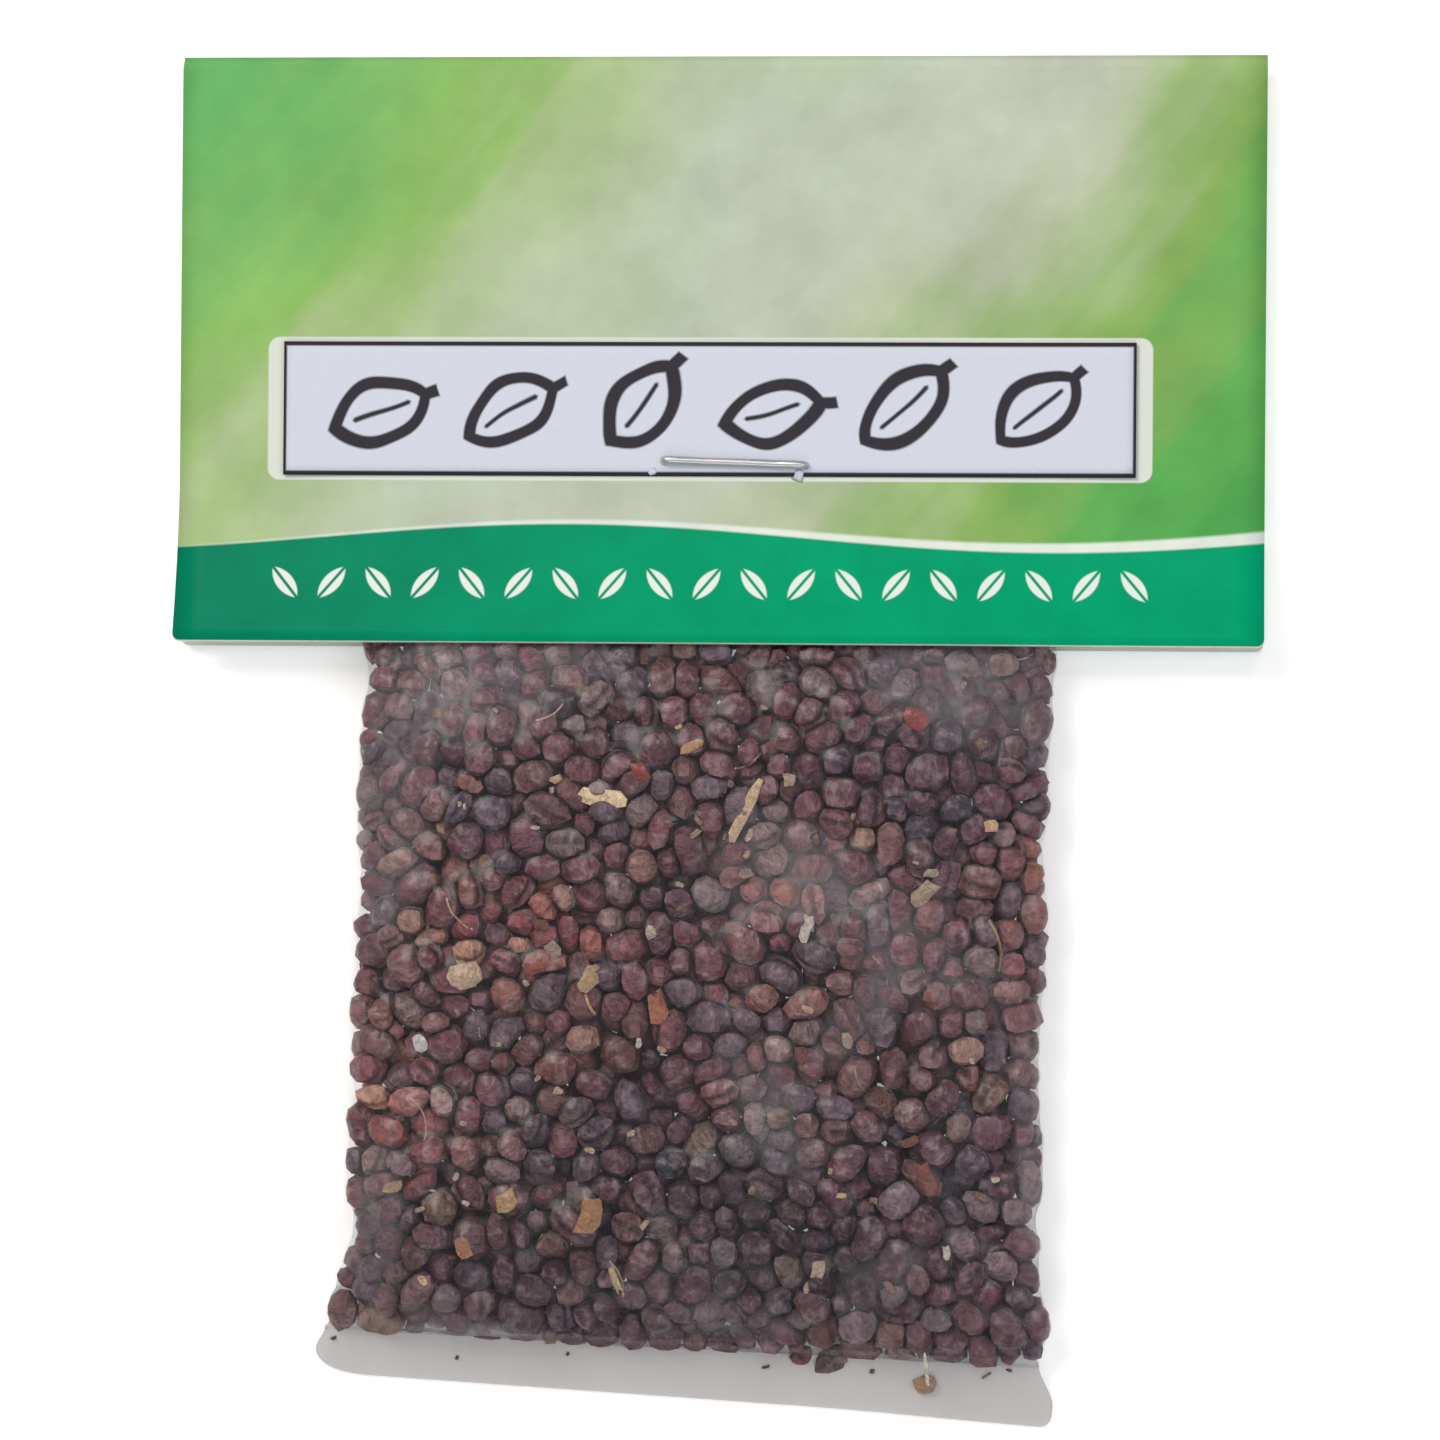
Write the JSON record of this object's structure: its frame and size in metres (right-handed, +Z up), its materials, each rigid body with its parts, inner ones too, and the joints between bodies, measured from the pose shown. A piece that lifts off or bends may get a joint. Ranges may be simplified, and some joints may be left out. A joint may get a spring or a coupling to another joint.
{
  "type": "stapled header-card packet of loose cardamom seeds",
  "caption": "Flat clear film bag filled with loose dark seeds, its mouth folded into a printed card that a wire staple holds through a paper label; lies on its back.",
  "frame": {"origin": "on the table, under the middle of the outline of the packet as it lies on its back", "axes": "+X across the packet to its right, +Y from the bag's foot to the card's fold, +Z up from the table"},
  "size_m": [0.09, 0.1131, 0.008],
  "materials": {
    "clear_film": "thin clear film, slightly milky, with soft gloss",
    "seed_coat": "dry, wrinkled, dull seed coats, dark purple-brown with some red-brown and tan ones",
    "printed_card": "coated printed card, light mottled green over a dark green band",
    "white_paper": "plain uncoated office paper with a thin black frame",
    "zinc_wire": "bright zinc-coated steel wire"
  },
  "bodies": {
    "root": {"film_bag": "clear_film", "seed_fill": "seed_coat", "header_card": "printed_card", "paper_label": "white_paper", "wire_staple": "zinc_wire"}
  },
  "joints": []
}
